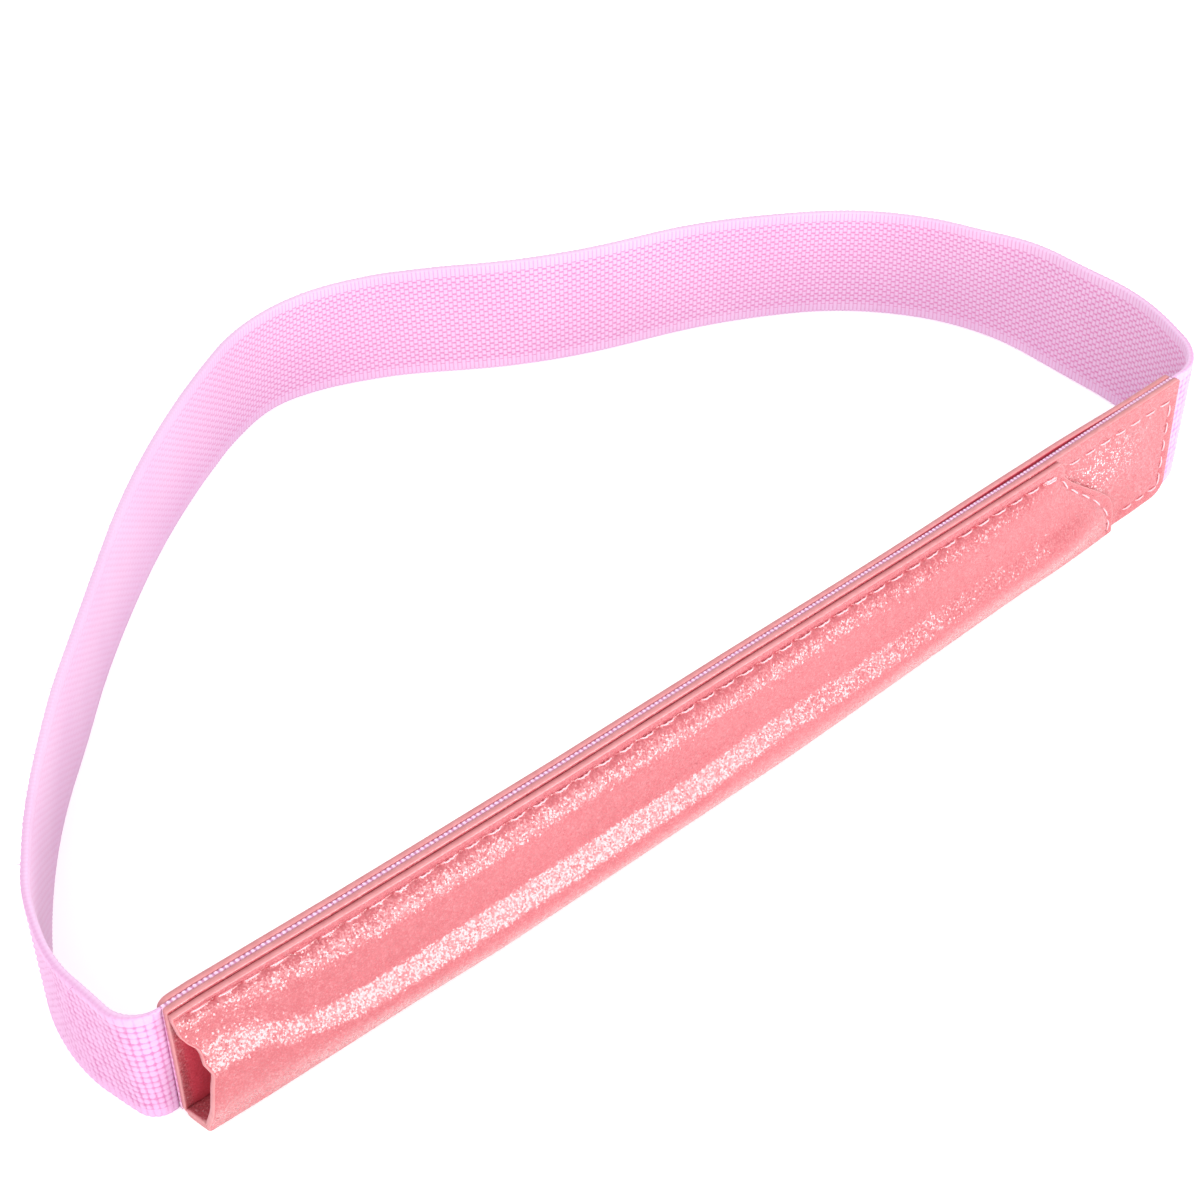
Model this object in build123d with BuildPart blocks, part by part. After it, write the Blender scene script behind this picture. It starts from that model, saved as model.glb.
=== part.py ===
from build123d import *
import os

# Pen sleeve on a woven elastic loop, all sizes in millimetres.
# +X runs along the sleeve from its open mouth to its stitched tab, +Y from the sleeve into
# the loop, +Z across the width of the band. The loop stands on its lower edges at Z = 0.
# Everything is first laid out from the mouth end of the sleeve and the front face of the
# base panel, and the planes below then move it so that the origin is at the middle of the
# whole loop's footprint.

# ---- driving dimensions -------------------------------------------------------------------
band_width = 20.0  # woven elastic and leather strips
leather = 1.0  # thickness of every leather layer
elastic = 1.1  # thickness of the woven elastic
sleeve_length = 165.0  # mouth end to the end of the tab

pocket_mouth = 0.6  # the pocket's cut edge stands back from the end of the base panel
pocket_depth = 5.1  # outer depth of the pocket in front of the base panel, at its ridge
pocket_foot_depth = 3.9  # outer depth along its lower corner
ridge_top = 10.6  # height where the front wall turns back towards the seam
ridge_low = 6.0  # height where the front wall starts to lean in towards the foot
lip_height = 16.2  # above this height the front wall lies flat on the base panel
gusset = 1.8  # thickness of the folded double layer under the pocket
pocket_taper_start = 126.0  # the pocket closes towards its end seam from here
seam_top_x = 139.5  # upper end of the diagonal end seam
seam_foot_x = 152.0  # lower end of the diagonal end seam
seam_flange = 1.6  # flat leather left beyond the end seam
void_end_gap = 2.0  # leather pressed shut just before the end seam

tab_corner = 2.6  # corner radii of the strips
strip_corner = 1.4

stitch_pitch = 3.3
stitch_length = 2.5
thread_width = 0.5
thread_depth = 0.25
groove_width = 0.8  # every seam is pulled down into a shallow groove in the leather
groove_depth = 0.3
seam_inset = 2.2  # seams from the edge of the leather
column_inset = 1.8  # the tab's end seam from the end of the leather
tab_row_start = 143.0  # first stitch of the upper row on the bare tab
tab_foot_start = 155.5  # first stitch of the lower row on the bare tab
row_start = 1.5  # start of the long rows from the mouth end

stretch_line = 70.0  # the loop's far run starts this far into the loop

# Corners of the elastic's middle line outside the sleeve, with the radius of each bend.
sewn_y = leather + elastic / 2
loop_corners = [
    ((-4.0, sewn_y), 4.2),
    ((-6.5, 20.0), 27.0),
    ((6.5, 44.5), 100.0),
    ((47.0, 86.5), 150.0),
    ((83.5, 108.0), 31.0),
    ((118.5, 83.5), 90.0),
    ((146.0, 74.5), 95.0),
    ((165.0, 63.0), 45.0),
    ((176.5, 45.5), 35.0),
    ((177.0, 16.0), 36.0),
    ((171.0, sewn_y), 8.5),
]

# ---- layout -------------------------------------------------------------------------------
mouth_end = (0.0, sewn_y)
tab_end = (sleeve_length, sewn_y)
corner_points = [corner for corner, radius in loop_corners]
corner_radii = [radius for corner, radius in loop_corners]

with BuildLine() as layout_line:
    FilletPolyline(mouth_end, *corner_points, tab_end, radius=corner_radii)
loop_box = layout_line.line.bounding_box()
middle_x = (loop_box.min.X + loop_box.max.X) / 2
middle_y = (loop_box.max.Y + elastic / 2 - pocket_depth) / 2


def floor_plane():
    """Plan view: sketch x and y are the layout's own."""
    return Plane(origin=(-middle_x, -middle_y, 0))


def front_plane(y):
    """Seen from the front: sketch x along the sleeve, sketch y up, facing -Y."""
    return Plane(origin=(-middle_x, y - middle_y, 0), x_dir=(1, 0, 0), z_dir=(0, -1, 0))


def back_plane(y):
    """Seen from inside the loop: sketch x runs back along the sleeve, facing +Y."""
    return Plane(origin=(-middle_x, y - middle_y, 0), x_dir=(-1, 0, 0), z_dir=(0, 1, 0))


def section_plane(x):
    """Cross-section: sketch x is depth along Y, sketch y is height."""
    return Plane(origin=(x - middle_x, -middle_y, 0), x_dir=(0, 1, 0), z_dir=(1, 0, 0))


def seam_plane(shift):
    """Leaning section that holds the diagonal end seam, moved along X by shift."""
    lean = Vector(seam_top_x - seam_foot_x, 0, band_width).normalized()
    return Plane(
        origin=(seam_foot_x + shift - middle_x, -middle_y, 0),
        x_dir=(0, 1, 0),
        z_dir=Vector(0, 1, 0).cross(lean),
    )


seam_slope = Vector(seam_top_x - seam_foot_x, band_width).length / band_width


def outer_outline(ridge, foot, slope=1.0):
    """Outside of the pocket in a section, for a ridge and foot depth."""
    heights = [0, ridge_low, ridge_top, lip_height, band_width]
    depths = [foot, ridge, ridge, leather, leather]
    front = [(-d, z * slope) for d, z in zip(depths, heights)]
    return [(0, 0), *front, (0, band_width * slope)]


def inner_outline(ridge, foot, slope=1.0):
    """Inside of the pocket in the same section."""
    return [
        (0, gusset * slope),
        (-foot, gusset * slope),
        (-ridge, ridge_low * slope),
        (-ridge, (ridge_top - leather / 5) * slope),
        (0, (lip_height - leather * 2 / 5) * slope),
    ]


# ---- seams, given as end points in the front view's x and z -------------------------------
top_z = band_width - seam_inset
foot_z = seam_inset
column_x = sleeve_length - column_inset
loop_face = 2 * leather + elastic


def on_flange(height):
    """Point on the middle of the end seam's flange at a height."""
    seam_x = seam_foot_x + (seam_top_x - seam_foot_x) * height / band_width
    return (seam_x + seam_flange / 2, height)


pocket_row = ((row_start, top_z), (seam_top_x - 1, top_z))
pocket_end_row = (on_flange(top_z - 1), on_flange(foot_z - 1))
tab_top_row = ((tab_row_start, top_z), (column_x, top_z))
tab_column = ((column_x, top_z - 1), (column_x, foot_z + 1))
tab_foot_row = ((tab_foot_start, foot_z), (column_x - 1, foot_z))
loop_top_row = ((row_start, top_z), (column_x, top_z))
loop_foot_row = ((row_start, foot_z), (column_x - 1, foot_z))


def seam_run(plane, row):
    """A seam's start and whole run on a plane; the back plane's x is mirrored."""
    side = 1 if plane.x_dir.X > 0 else -1
    (start_x, start_z), (end_x, end_z) = row
    start = Vector(side * start_x, start_z)
    return start, Vector(side * end_x, end_z) - start


def groove(plane, row):
    """Press a seam's shallow groove into the leather under a plane."""
    start, run = seam_run(plane, row)
    middle = start + run / 2
    angle = Vector(1, 0).get_signed_angle(run, Vector(0, 0, 1))
    with BuildSketch(plane) as channel:
        with Locations(Location((middle.X, middle.Y, 0), (0, 0, angle))):
            SlotOverall(run.length + groove_width, groove_width)
    extrude(channel.sketch, amount=-groove_depth, mode=Mode.SUBTRACT)


def sew(plane, row):
    """Lay one row of stitches on the floor of its groove."""
    start, run = seam_run(plane, row)
    angle = Vector(1, 0).get_signed_angle(run, Vector(0, 0, 1))
    count = round(run.length / stitch_pitch)
    middles = [start + run * ((i + 0.5) / count) for i in range(count)]
    with BuildSketch(plane.offset(-groove_depth)) as stitches:
        with Locations(*[Location((m.X, m.Y, 0), (0, 0, angle)) for m in middles]):
            SlotOverall(stitch_length, thread_width)
    extrude(stitches.sketch, amount=thread_depth)


# ---- leather strips -----------------------------------------------------------------------
with BuildPart() as back_strip:
    with BuildSketch(front_plane(2 * leather + elastic)):
        with Locations((sleeve_length / 2, band_width / 2)):
            strip_outline = Rectangle(sleeve_length, band_width)
        fillet(strip_outline.vertices(), radius=strip_corner)
    extrude(amount=leather)
    for seam in (loop_top_row, loop_foot_row, tab_column):
        groove(back_plane(loop_face), seam)
back_strip.part.label = "back_strip"

with BuildPart() as base_panel:
    with BuildSketch(front_plane(leather)) as base_sketch:
        with Locations((sleeve_length / 2, band_width / 2)):
            Rectangle(sleeve_length, band_width)
        fillet(base_sketch.vertices().group_by(Axis.X)[-1].sort_by(Axis.Y)[0], radius=tab_corner)
        fillet(base_sketch.vertices().group_by(Axis.X)[0].sort_by(Axis.Y)[0], radius=gusset)
    extrude(amount=leather)
    for seam in (tab_top_row, tab_foot_row, tab_column):
        groove(front_plane(0), seam)
base_panel.part.label = "base_panel"

# ---- pocket: front wall, double gusset and the flat flange of its end seam ----------------
inner_ridge = pocket_depth - leather
inner_foot = pocket_foot_depth - leather
pressed = leather / 5  # the inside is pressed almost shut at the end seam

with BuildPart() as pocket_panel:
    with BuildSketch(section_plane(pocket_mouth)) as mouth_section:
        Polygon(*outer_outline(pocket_depth, pocket_foot_depth), align=None)
        Polygon(*inner_outline(inner_ridge, inner_foot), align=None, mode=Mode.SUBTRACT)
    extrude(amount=pocket_taper_start - pocket_mouth)
    with BuildSketch(section_plane(pocket_taper_start)):
        Polygon(*outer_outline(pocket_depth, pocket_foot_depth), align=None)
    with BuildSketch(seam_plane(0)):
        Polygon(*outer_outline(leather + pressed, leather, seam_slope), align=None)
    loft(ruled=True)
    with BuildSketch(section_plane(pocket_taper_start)):
        Polygon(*inner_outline(inner_ridge, inner_foot), align=None)
    with BuildSketch(seam_plane(-void_end_gap)):
        Polygon(*inner_outline(pressed, pressed, seam_slope), align=None)
    loft(ruled=True, mode=Mode.SUBTRACT)
    with BuildSketch(front_plane(0)):
        with BuildLine():
            Polyline(
                (seam_top_x - seam_flange, band_width),
                (seam_top_x + seam_flange, band_width),
                (seam_foot_x + seam_flange, gusset),
                (seam_foot_x + seam_flange, 0),
                (seam_foot_x - seam_flange, 0),
                close=True,
            )
        make_face()
    extrude(amount=leather)
    for seam in (pocket_row, pocket_end_row):
        groove(front_plane(-leather), seam)
pocket_panel.part.label = "pocket_panel"

# ---- woven elastic: one strip, in the four runs that stretch differently ------------------
with BuildPart() as elastic_sewn_run:
    with BuildSketch(front_plane(leather + elastic)):
        with Locations((sleeve_length / 2, band_width / 2)):
            Rectangle(sleeve_length, band_width)
    extrude(amount=elastic)
elastic_sewn_run.part.label = "elastic_sewn_run"

with BuildPart() as whole_loop:
    with BuildSketch(floor_plane()):
        with BuildLine():
            FilletPolyline(mouth_end, *corner_points, tab_end, radius=corner_radii)
        trace(line_width=elastic)
    extrude(amount=band_width)

far_side = Plane(origin=(0, stretch_line - middle_y, 0), z_dir=(0, 1, 0))
with BuildPart() as elastic_far_run:
    add(whole_loop.part)
    split(bisect_by=far_side, keep=Keep.TOP)
elastic_far_run.part.label = "elastic_far_run"

with BuildPart() as elastic_mouth_run:
    add(whole_loop.part)
    split(bisect_by=far_side, keep=Keep.BOTTOM)
    split(bisect_by=Plane.YZ, keep=Keep.BOTTOM)
elastic_mouth_run.part.label = "elastic_mouth_run"

with BuildPart() as elastic_tab_run:
    add(whole_loop.part)
    split(bisect_by=far_side, keep=Keep.BOTTOM)
    split(bisect_by=Plane.YZ, keep=Keep.TOP)
elastic_tab_run.part.label = "elastic_tab_run"


# ---- seams: each stitch is a short length of thread lying in its groove -------------------
with BuildPart() as top_seam_thread:
    sew(front_plane(-leather), pocket_row)
    sew(front_plane(0), tab_top_row)
    sew(back_plane(loop_face), loop_top_row)
top_seam_thread.part.label = "top_seam_thread"

with BuildPart() as tab_seam_thread:
    sew(front_plane(0), tab_column)
    sew(back_plane(loop_face), tab_column)
tab_seam_thread.part.label = "tab_seam_thread"

with BuildPart() as bottom_seam_thread:
    sew(front_plane(0), tab_foot_row)
    sew(back_plane(loop_face), loop_foot_row)
bottom_seam_thread.part.label = "bottom_seam_thread"

with BuildPart() as pocket_end_thread:
    sew(front_plane(-leather), pocket_end_row)
pocket_end_thread.part.label = "pocket_end_thread"
# ---- write the pieces ---------------------------------------------------------------------
pieces = [
    back_strip,
    base_panel,
    pocket_panel,
    elastic_sewn_run,
    elastic_mouth_run,
    elastic_far_run,
    elastic_tab_run,
    top_seam_thread,
    tab_seam_thread,
    bottom_seam_thread,
    pocket_end_thread,
]
os.makedirs("parts", exist_ok=True)
for piece in pieces:
    export_step(piece.part, f"parts/{piece.part.label}.step")

loop_length = sum(edge.length for edge in layout_line.edges())
print(f"elastic outside the sleeve {loop_length:.1f} mm, middle at {middle_x:.3f}, {middle_y:.3f}")
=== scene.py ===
import math

import bpy
import numpy as np
from mathutils import Matrix, Vector


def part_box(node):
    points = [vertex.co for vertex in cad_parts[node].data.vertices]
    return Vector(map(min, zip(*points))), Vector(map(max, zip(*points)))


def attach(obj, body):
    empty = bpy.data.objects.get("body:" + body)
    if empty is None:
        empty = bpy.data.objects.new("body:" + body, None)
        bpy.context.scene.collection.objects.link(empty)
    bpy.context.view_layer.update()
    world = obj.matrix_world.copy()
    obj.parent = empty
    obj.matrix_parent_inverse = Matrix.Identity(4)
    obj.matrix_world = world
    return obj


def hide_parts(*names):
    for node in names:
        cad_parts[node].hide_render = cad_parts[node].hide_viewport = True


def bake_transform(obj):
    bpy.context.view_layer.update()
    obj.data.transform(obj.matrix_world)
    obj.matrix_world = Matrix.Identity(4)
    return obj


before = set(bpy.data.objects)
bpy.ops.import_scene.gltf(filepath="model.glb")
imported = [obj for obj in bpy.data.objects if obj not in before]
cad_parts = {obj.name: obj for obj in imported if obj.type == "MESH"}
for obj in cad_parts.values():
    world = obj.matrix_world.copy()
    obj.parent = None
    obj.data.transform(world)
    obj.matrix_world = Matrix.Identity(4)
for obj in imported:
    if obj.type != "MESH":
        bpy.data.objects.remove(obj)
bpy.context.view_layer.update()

# Pen sleeve of shimmer leather on a loop of woven elastic. Layout sizes are in millimetres,
# counted from the sleeve's mouth end (x), the front face of its base panel (y, positive into
# the loop) and the floor (z); place() turns them into the frame's metres.

MM = 0.001
base_low, base_high = (np.array(corner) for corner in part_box("base_panel"))
LAYOUT_ORIGIN = np.array([base_low[0], base_low[1], 0.0])
BAND_WIDTH = (base_high[2] - base_low[2]) / MM
SLEEVE_LENGTH = (base_high[0] - base_low[0]) / MM
LEATHER = (base_high[1] - base_low[1]) / MM
elastic_low, elastic_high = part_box("elastic_sewn_run")
ELASTIC = (elastic_high[1] - elastic_low[1]) / MM
SEWN_Y = LEATHER + ELASTIC / 2
SKIN = 0.85  # leather as it shows at its cut edges, pressed by the seams
PINCHED = 0.5  # elastic squeezed between the strips

rng = np.random.default_rng(7)


def place(points):
    """Layout millimetres to frame metres."""
    return np.asarray(points, float) * MM + LAYOUT_ORIGIN


def smoothstep(value, low, high):
    t = np.clip((np.asarray(value, float) - low) / (high - low), 0, 1)
    return t * t * (3 - 2 * t)


def spread(anchors, step):
    """Numbers through the anchors, no further apart than step."""
    out = [anchors[0]]
    for a, b in zip(anchors, anchors[1:]):
        count = max(1, math.ceil((b - a) / step))
        out += [a + (b - a) * (i + 1) / count for i in range(count)]
    return np.array(out)


def soft_curve(corners, per_span):
    """Catmull-Rom curve through 2D corners."""
    p = np.array([corners[0], *corners, corners[-1]], float)
    out = []
    for i in range(1, len(p) - 2):
        a, b, c, d = p[i - 1 : i + 3]
        for t in np.arange(per_span) / per_span:
            out.append(
                0.5 * (2 * b + (c - a) * t + (2 * a - 5 * b + 4 * c - d) * t**2
                       + (3 * b - a - 3 * c + d) * t**3)
            )
    return np.array(out + [p[-1]])


def ripple(x, z, size, seed):
    """Gentle hand-made unevenness, about one unit high, over waves of that size."""
    local = np.random.default_rng(seed)
    total = np.zeros(np.broadcast(x, z).shape)
    for _ in range(5):
        angle, phase = local.uniform(0, math.pi), local.uniform(0, 2 * math.pi)
        wave = size * local.uniform(0.6, 1.7)
        total += np.sin((x * math.cos(angle) + z * math.sin(angle)) * 2 * math.pi / wave + phase)
    return total / 5


# The sleeve isn't quite flat: how far its top edge and its foot stand back, along x.
TOP_BACK_X = [0, 4, 13, 21, 33, 53, 81, 109, 136, 150, 165]
TOP_BACK = [0.3, 0.37, 0.16, -0.05, -0.22, -0.4, -0.29, -0.35, -0.26, 0.0, 0.2]
FOOT_BACK_X = [0, 10, 25, 45, 110, 130, 153, 158, 165]
FOOT_BACK = [1.7, 1.6, 1.15, 0.8, 0.6, 0.0, -0.7, -0.7, -0.45]
BACK_EASE = 1.3  # above 1, the foot's share of it is gone sooner on the way up


def set_back(x, z):
    """How far the sleeve's layers stand back at (x, z)."""
    top, foot = np.interp(x, TOP_BACK_X, TOP_BACK), np.interp(x, FOOT_BACK_X, FOOT_BACK)
    return top + (foot - top) * np.clip(1 - np.asarray(z) / BAND_WIDTH, 0, 1) ** BACK_EASE


# ---- meshes -------------------------------------------------------------------------------
def make_object(name, points, faces, uv, values=None):
    """A smooth mesh object from layout points, with UV in millimetres and vertex values."""
    mesh = bpy.data.meshes.new(name)
    mesh.from_pydata(place(points).tolist(), [], faces)
    mesh.polygons.foreach_set("use_smooth", [True] * len(mesh.polygons))
    layer = mesh.uv_layers.new(name="layout")
    corners = np.zeros(len(mesh.loops), int)
    mesh.loops.foreach_get("vertex_index", corners)
    layer.data.foreach_set("uv", np.asarray(uv, float)[corners].astype(np.float32).ravel())
    for key, value in (values or {}).items():
        attribute = mesh.attributes.new(key, "FLOAT", "POINT")
        attribute.data.foreach_set("value", np.asarray(value, np.float32).ravel())
    mesh.update()
    obj = bpy.data.objects.new(name, mesh)
    bpy.context.scene.collection.objects.link(obj)
    return obj


def grid_faces(rows, columns, start=0, closed=False, flip=False):
    """Quads of a rows by columns grid of vertices, wrapped along the columns if closed."""
    faces = []
    for i in range(rows - 1):
        for j in range(columns if closed else columns - 1):
            k = (j + 1) % columns
            quad = [i * columns + j, i * columns + k, (i + 1) * columns + k, (i + 1) * columns + j]
            faces.append([start + n for n in (reversed(quad) if flip else quad)])
    return faces


def grid_normals(points):
    """Unit normals of a grid of points."""
    du = np.gradient(points, axis=0)
    dv = np.gradient(points, axis=1)
    n = np.cross(dv, du)
    return n / np.maximum(np.linalg.norm(n, axis=-1, keepdims=True), 1e-9)


EDGE_ROUND = 0.25  # the cut edges of the leather are eased over this distance
EDGE_KEEP = 0.74  # share of the thickness left at the very edge


def leather_sheet(name, middle, inset, press, seam, uv, shade=0.0, polish_and_glints=0.0):
    """A closed sheet of leather about its middle surface, a grid of layout points.

    inset is each point's distance from the cut edge, press pushes the outer face into the
    sheet, seam paints shade into the needle holes, and shade is the share of the underside's red
    painted on the outer face as shade. polish is 1 where the flakes lie flat, 0 where they lie
    loose and negative where they stand up; where it is well below zero some are also painted
    near-white as glints. Returns the piece, its outer face as a grid and the normals there.
    """
    rows, columns = middle.shape[:2]
    count = rows * columns
    normal = grid_normals(middle)
    edge = np.clip(1 - inset / EDGE_ROUND, 0, 1)
    half = SKIN / 2 * (1 - (1 - EDGE_KEEP) * edge**2)
    outer = middle + normal * (half - press)[..., None]
    inner = middle - normal * half[..., None]
    faces = grid_faces(rows, columns) + grid_faces(rows, columns, count, flip=True)
    rim = (
        [i * columns for i in range(rows)]
        + [(rows - 1) * columns + j for j in range(1, columns)]
        + [i * columns + columns - 1 for i in range(rows - 2, -1, -1)]
        + list(range(columns - 2, 0, -1))
    )
    for a, b in zip(rim, rim[1:] + rim[:1]):
        faces.append([a, b, b + count, a + count])

    def per_vertex(outside, inside):
        return np.concatenate([np.broadcast_to(v, inset.shape).ravel() for v in (outside, inside)])

    values = {
        "edge": per_vertex(edge, edge),
        "seam": per_vertex(seam, seam),
        "lining_and_shade": per_vertex(shade, 1.0),
        "polish_and_glints": per_vertex(polish_and_glints, 0.0),
    }
    points = np.concatenate([outer.reshape(-1, 3), inner.reshape(-1, 3)])
    flat_uv = uv.reshape(-1, 2)
    obj = make_object(name, points, faces, np.concatenate([flat_uv, flat_uv]), values)
    return obj, outer, normal


# ---- seams --------------------------------------------------------------------------------
PITCH = 3.3  # of the stitches
SEAM_INSET = 2.2
COLUMN_INSET = 1.8  # of the seam across the closed end
STRIP_LENGTH = SLEEVE_LENGTH + 0.7  # the leather strips reach a little past the sewn elastic
TOP_ROW_Z = BAND_WIDTH - SEAM_INSET
FOOT_ROW_Z = SEAM_INSET
COLUMN_X = STRIP_LENGTH - COLUMN_INSET
ROW_START = 1.5
TROUGH_WIDTH = 0.55
HOLE_AT = 0.13  # a needle hole's middle, as a share of the pitch
HOLE_LENGTH = 0.5
HOLE_WIDTH = 0.22
SEAM_REACH = 2  # a stitch presses nothing further off than this


def seam_holes(points):
    """Needle holes one pitch apart along a seam drawn by layout (x, z) points."""
    p = np.array(points, float)
    lengths = np.concatenate([[0], np.cumsum(np.linalg.norm(np.diff(p, axis=0), axis=1))])
    count = max(2, round(lengths[-1] / PITCH) + 1)
    at = np.linspace(0, lengths[-1], count)
    return np.stack([np.interp(at, lengths, p[:, k]) for k in (0, 1)], -1)


def seam_press(x, z, holes, trough=0.16, hole=0.3):
    """How deep a seam pulls the leather in at (x, z), and how much of a needle hole is there."""
    trough_depth = np.zeros(x.shape)
    hole_share = np.zeros(x.shape)
    for a, b in zip(holes, holes[1:]):
        run = b - a
        low, high = np.minimum(a, b) - SEAM_REACH, np.maximum(a, b) + SEAM_REACH
        near = (x > low[0]) & (x < high[0]) & (z > low[1]) & (z < high[1])
        px, pz = x[near] - a[0], z[near] - a[1]
        share = (px * run[0] + pz * run[1]) / (run @ run)
        along = np.clip(share, 0, 1)
        gap = np.hypot(px - along * run[0], pz - along * run[1])
        pull = 0.82 + 0.18 * np.cos(2 * math.pi * along)
        pulled = pull * np.exp(-((gap / TROUGH_WIDTH) ** 2))
        trough_depth[near] = np.maximum(trough_depth[near], pulled)
        # The needle hole is stretched along the seam, ahead of the thread that comes out of it.
        length = np.linalg.norm(run)
        ahead = (share - HOLE_AT) * length / HOLE_LENGTH
        across = (px * run[1] - pz * run[0]) / length / HOLE_WIDTH
        mark = np.exp(-(ahead**2) - across**2)
        hole_share[near] = np.maximum(hole_share[near], mark)
    return trough * trough_depth + hole * hole_share, hole_share


THREAD_RADIUS = 0.135
THREAD_SIDES = 8
THREAD_STEPS = 9
STITCH_START = 0.26  # the thread shows from this share of the pitch
STITCH_SHARE = 0.72  # and over this share of it
STITCH_SKEW = 0.04  # how far its ends lie to either side of the seam
SKEW_SPREAD = 0.035


def stitch_path(a, b, surface, normals):
    """One stitch from hole a to hole b over points with normals, and the last normal on it."""
    run = b - a
    side = np.array([-run[1], 0, run[0]]) / np.hypot(*run)
    skew = STITCH_SKEW + rng.normal(0, SKEW_SPREAD)
    path = []
    for t in np.linspace(0, 1, THREAD_STEPS):
        x, z = a + run * (STITCH_START + STITCH_SHARE * t)
        nearest = np.argmin((surface[:, 0] - x) ** 2 + (surface[:, 2] - z) ** 2)
        # It lies on the leather and dives in at its ends; near the mouth it has sunk in.
        sunk = 1 - smoothstep(x, 12, 60)
        rise = THREAD_RADIUS * (0.7 - sunk - 1.6 * abs(2 * t - 1) ** 6 - 0.2 * t)
        path.append(np.array([x, surface[nearest, 1], z]) + normals[nearest] * rise
                    + side * skew * (0.5 - t) * 2)
    return np.array(path), normals[nearest]


def thread_seam(name, seams):
    """Stitches between the holes of each seam; a seam is (holes, outer grid, its normals)."""
    points, faces, uv = [], [], []
    for holes, surface, normals in seams:
        surface, normals = surface.reshape(-1, 3), normals.reshape(-1, 3)
        for a, b in zip(holes, holes[1:]):
            path, above = stitch_path(a, b, surface, normals)
            step = np.hypot(*(b - a)) / (THREAD_STEPS - 1)
            tangents = np.gradient(path, axis=0)
            tangents /= np.linalg.norm(tangents, axis=1, keepdims=True)
            start = len(points)
            for i, (point, tangent) in enumerate(zip(path, tangents)):
                across = np.cross(tangent, above)
                across /= np.linalg.norm(across)
                up = np.cross(across, tangent)
                swell = THREAD_RADIUS * (0.75 + 0.25 * math.sin(math.pi * i / (THREAD_STEPS - 1)))
                for k in range(THREAD_SIDES):
                    turn = 2 * math.pi * k / THREAD_SIDES
                    around = across * math.cos(turn) + up * math.sin(turn) * 0.8
                    points.append(point + swell * around)
                    uv.append((i * step, k / THREAD_SIDES))
            faces += grid_faces(THREAD_STEPS, THREAD_SIDES, start, closed=True, flip=True)
            last = start + (THREAD_STEPS - 1) * THREAD_SIDES
            faces.append([start + k for k in range(THREAD_SIDES)])
            faces.append([last + k for k in reversed(range(THREAD_SIDES))])
    return make_object(name, np.array(points), faces, np.array(uv))


# ---- woven elastic ------------------------------------------------------------------------
LOOSE_LENGTH = 307.5  # of the band outside the sleeve
COLUMN_PITCH = 0.655
ROW_COUNT = 15
SELVAGE = 1.6  # smooth border at either edge
RELIEF = 0.2  # depth of the grooves between the beads
RIB_RELIEF = 0.1  # depth of those on the selvages
SELVAGE_SINK = 0.04  # how far the selvages lie below the beads
PHASES = 2  # mesh stations in each column of the weave's inner face
BEAD_PHASES = 3  # and in each bead of its outer face
LOOSE_DENT = 0.06  # how far the rims dip between the columns
SEWN_DENT = 0.22  # and where the sleeve squeezes them

# The loop's route in plan, from the mouth round to the tab: corners, each with its radius.
LOOP_CORNERS = [
    ((-4.0, SEWN_Y), 4.2),
    ((-6.5, 20.0), 27.0),
    ((6.5, 44.5), 100.0),
    ((47.0, 86.5), 150.0),
    ((83.5, 108.0), 31.0),
    ((118.5, 83.5), 90.0),
    ((146.0, 74.5), 95.0),
    ((165.0, 63.0), 45.0),
    ((176.5, 45.5), 35.0),
    ((177.0, 16.0), 36.0),
    ((171.0, SEWN_Y), 8.5),
]


def rounded_route(start, corners, end):
    """Straight runs with an arc of the given radius at each corner."""
    p = [np.array(point, float) for point in (start, *(corner for corner, _ in corners), end)]
    out = [p[0]]
    for before, corner, after, (_, radius) in zip(p, p[1:], p[2:], corners):
        a = (before - corner) / np.linalg.norm(before - corner)
        b = (after - corner) / np.linalg.norm(after - corner)
        half = math.acos(np.clip(a @ b, -1, 1)) / 2
        centre = corner + (a + b) / np.linalg.norm(a + b) * radius / math.sin(half)
        first = corner + a * radius / math.tan(half) - centre
        last = corner + b * radius / math.tan(half) - centre
        turn = math.atan2(first[0] * last[1] - first[1] * last[0], first @ last)
        for t in np.linspace(0, 1, max(4, int(abs(turn) * radius / 0.4))):
            c, s = math.cos(turn * t), math.sin(turn * t)
            arm = np.array([c * first[0] - s * first[1], s * first[0] + c * first[1]])
            out.append(centre + arm)
    return np.array(out + [p[-1]])


def evenly(path):
    """The path as a whole number of the weave's columns, with PHASES points to each."""
    lengths = np.concatenate([[0], np.cumsum(np.linalg.norm(np.diff(path, axis=0), axis=1))])
    columns = round(lengths[-1] / COLUMN_PITCH)
    at = np.linspace(0, lengths[-1], columns * PHASES + 1)
    return np.stack([np.interp(at, lengths, path[:, k]) for k in (0, 1)], -1)


SELVAGE_ROW, RIM_ROW = -1, -2


def band_ring(face_rows):
    """Round the band's section: (side, z, row) from the outer face up, over and back down.

    side is 1 on the outer face, -1 on the inner face and between them on the edges. row is
    the half-row of the weave, SELVAGE_ROW or RIM_ROW.
    """
    body = BAND_WIDTH - 2 * SELVAGE
    outer = [(side, z, SELVAGE_ROW) for side, z in [(0.8, 0.06), (1, 0.3), (1, 0.8), (1, 1.35)]]
    if face_rows:
        outer += [(1, SELVAGE + body * k / (2 * ROW_COUNT), k) for k in range(2 * ROW_COUNT + 1)]
    outer += [(side, BAND_WIDTH - z, row) for side, z, row in reversed(outer[:4])]
    rim_top = [(0.3, BAND_WIDTH, RIM_ROW), (-0.3, BAND_WIDTH, RIM_ROW)]
    inner = [(-side, z, row) for side, z, row in reversed(outer)]
    rim_foot = [(-0.3, 0.0, RIM_ROW), (0.3, 0.0, RIM_ROW)]
    return outer + rim_top + inner + rim_foot


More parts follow.
